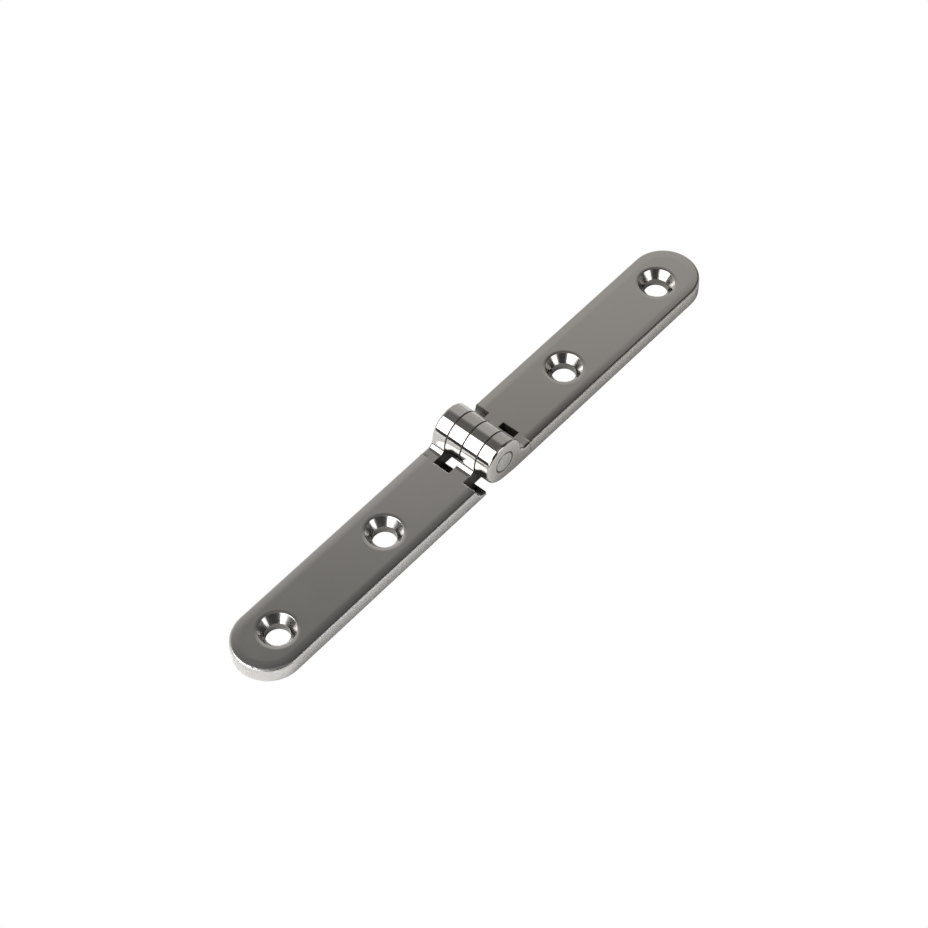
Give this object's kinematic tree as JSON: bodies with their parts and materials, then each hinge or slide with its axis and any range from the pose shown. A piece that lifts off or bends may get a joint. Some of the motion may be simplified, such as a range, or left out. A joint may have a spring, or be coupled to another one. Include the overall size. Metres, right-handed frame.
{
  "type": "strap hinge",
  "caption": "Cast strap hinge with round-ended leaves, countersunk screw holes and a raised knuckle barrel; the leaves fold about a plain pin.",
  "frame": {"origin": "on the underside plane, straight below the pin's axis, midway along the pin", "axes": "+X along the right leaf, +Y along the pin, +Z from the underside towards the barrel's top"},
  "size_m": [0.1816, 0.02, 0.0136],
  "materials": {
    "leaf_steel": "cast stainless steel, mirror polished barrel, satin polished leaves",
    "pin_steel": "drawn stainless steel rod, ends ground flush"
  },
  "bodies": {
    "left": {"left_leaf": "leaf_steel"},
    "right": {"right_leaf": "leaf_steel", "hinge_pin": "pin_steel"}
  },
  "joints": [
    {"name": "leaf_fold", "type": "hinge", "parent": "left", "child": "right", "pos_m": [0, 0, 0.0068], "axis": [0, -1, 0], "range_deg": [-90, 180]}
  ]
}
